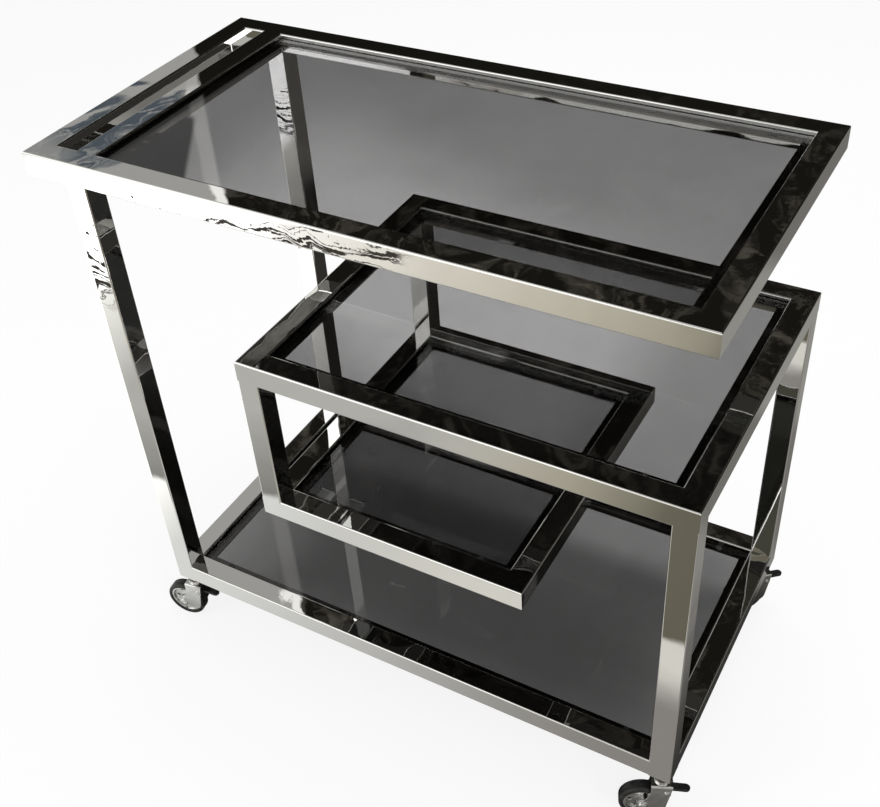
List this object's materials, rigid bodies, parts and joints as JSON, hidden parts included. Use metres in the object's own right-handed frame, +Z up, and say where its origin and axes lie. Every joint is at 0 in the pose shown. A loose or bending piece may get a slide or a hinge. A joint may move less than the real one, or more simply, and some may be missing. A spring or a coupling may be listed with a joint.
{
  "type": "serving trolley",
  "caption": "Rolling serving trolley with a spiral frame of polished square tube, staggered smoked glass shelves, an open push handle and swivel casters with brake levers.",
  "frame": {"origin": "on the floor below the middle of the whole trolley, brake levers and wheels included", "axes": "+X from the push handle to the right end, +Y from the front to the back, +Z up"},
  "size_m": [0.8692, 0.4578, 0.8],
  "materials": {
    "polished_tube": "mirror polished chrome on welded steel tube",
    "smoked_glass": "smoked grey float glass with ground edges",
    "ledge_steel": "chromed flat bar",
    "clear_pad": "clear soft bumper",
    "insert_steel": "zinc plated",
    "stem_steel": "zinc plated, turned",
    "washer_bronze": "sintered bronze",
    "chromed_fork": "bright chrome on pressed steel",
    "wheel_centre": "bright plated wheel centre",
    "tyre_rubber": "black rubber",
    "lever_plastic": "black moulded plastic",
    "pin_steel": "plated rivet"
  },
  "bodies": {
    "frame": {"top_front_rail": "polished_tube", "top_back_rail": "polished_tube", "top_left_rail": "polished_tube", "top_right_rail": "polished_tube", "middle_front_rail": "polished_tube", "middle_back_rail": "polished_tube", "middle_left_rail": "polished_tube", "middle_right_rail": "polished_tube", "inner_front_rail": "polished_tube", "inner_back_rail": "polished_tube", "inner_left_rail": "polished_tube", "inner_right_rail": "polished_tube", "base_front_rail": "polished_tube", "base_back_rail": "polished_tube", "base_left_rail": "polished_tube", "base_right_rail": "polished_tube", "top_cross_rail": "polished_tube", "front_left_leg": "polished_tube", "front_right_leg": "polished_tube", "back_left_leg": "polished_tube", "back_right_leg": "polished_tube", "front_post": "polished_tube", "back_post": "polished_tube", "top_glass": "smoked_glass", "middle_glass": "smoked_glass", "inner_glass": "smoked_glass", "base_glass": "smoked_glass", "top_ledge": "ledge_steel", "middle_ledge": "ledge_steel", "inner_ledge": "ledge_steel", "base_ledge": "ledge_steel", "glass_pads": "clear_pad", "leg_inserts": "insert_steel", "caster_stems": "stem_steel", "swivel_washers": "washer_bronze"},
    "front_left_caster": {"front_left_fork": "chromed_fork", "front_left_axle": "pin_steel", "front_left_lever_pin": "pin_steel"},
    "front_left_wheel": {"front_left_rim": "wheel_centre", "front_left_tyre": "tyre_rubber"},
    "front_left_brake": {"front_left_brake_lever": "lever_plastic"},
    "front_right_caster": {"front_right_fork": "chromed_fork", "front_right_axle": "pin_steel", "front_right_lever_pin": "pin_steel"},
    "front_right_wheel": {"front_right_rim": "wheel_centre", "front_right_tyre": "tyre_rubber"},
    "front_right_brake": {"front_right_brake_lever": "lever_plastic"},
    "back_right_caster": {"back_right_fork": "chromed_fork", "back_right_axle": "pin_steel", "back_right_lever_pin": "pin_steel"},
    "back_right_wheel": {"back_right_rim": "wheel_centre", "back_right_tyre": "tyre_rubber"},
    "back_right_brake": {"back_right_brake_lever": "lever_plastic"},
    "back_left_caster": {"back_left_fork": "chromed_fork", "back_left_axle": "pin_steel", "back_left_lever_pin": "pin_steel"},
    "back_left_wheel": {"back_left_rim": "wheel_centre", "back_left_tyre": "tyre_rubber"},
    "back_left_brake": {"back_left_brake_lever": "lever_plastic"}
  },
  "joints": [
    {"name": "front_left_swivel", "type": "hinge", "parent": "frame", "child": "front_left_caster", "pos_m": [-0.35964, -0.2, 0.084], "axis": [0, 0, 1], "continuous": true},
    {"name": "front_left_spin", "type": "hinge", "parent": "front_left_caster", "child": "front_left_wheel", "pos_m": [-0.38241, -0.2032, 0.031], "axis": [-0.1392, 0.9903, 0], "continuous": true},
    {"name": "front_left_brake_press", "type": "hinge", "parent": "front_left_caster", "child": "front_left_brake", "pos_m": [-0.35271, -0.19903, 0.05997], "axis": [-0.1392, 0.9903, 0], "range_deg": [0, 15]},
    {"name": "front_right_swivel", "type": "hinge", "parent": "frame", "child": "front_right_caster", "pos_m": [0.40036, -0.2, 0.084], "axis": [0, 0, 1], "continuous": true},
    {"name": "front_right_spin", "type": "hinge", "parent": "front_right_caster", "child": "front_right_wheel", "pos_m": [0.37935, -0.20935, 0.031], "axis": [-0.4067, 0.9135, 0], "continuous": true},
    {"name": "front_right_brake_press", "type": "hinge", "parent": "front_right_caster", "child": "front_right_brake", "pos_m": [0.40675, -0.19715, 0.05997], "axis": [-0.4067, 0.9135, 0], "range_deg": [0, 15]},
    {"name": "back_right_swivel", "type": "hinge", "parent": "frame", "child": "back_right_caster", "pos_m": [0.40036, 0.2, 0.084], "axis": [0, 0, 1], "continuous": true},
    {"name": "back_right_spin", "type": "hinge", "parent": "back_right_caster", "child": "back_right_wheel", "pos_m": [0.38382, 0.18402, 0.031], "axis": [-0.6947, 0.7193, 0], "continuous": true},
    {"name": "back_right_brake_press", "type": "hinge", "parent": "back_right_caster", "child": "back_right_brake", "pos_m": [0.40539, 0.20486, 0.05997], "axis": [-0.6947, 0.7193, 0], "range_deg": [0, 15]},
    {"name": "back_left_swivel", "type": "hinge", "parent": "frame", "child": "back_left_caster", "pos_m": [-0.35964, 0.2, 0.084], "axis": [0, 0, 1], "continuous": true},
    {"name": "back_left_spin", "type": "hinge", "parent": "back_left_caster", "child": "back_left_wheel", "pos_m": [-0.38065, 0.20935, 0.031], "axis": [0.4067, 0.9135, 0], "continuous": true},
    {"name": "back_left_brake_press", "type": "hinge", "parent": "back_left_caster", "child": "back_left_brake", "pos_m": [-0.35325, 0.19715, 0.05997], "axis": [0.4067, 0.9135, 0], "range_deg": [0, 15]}
  ]
}
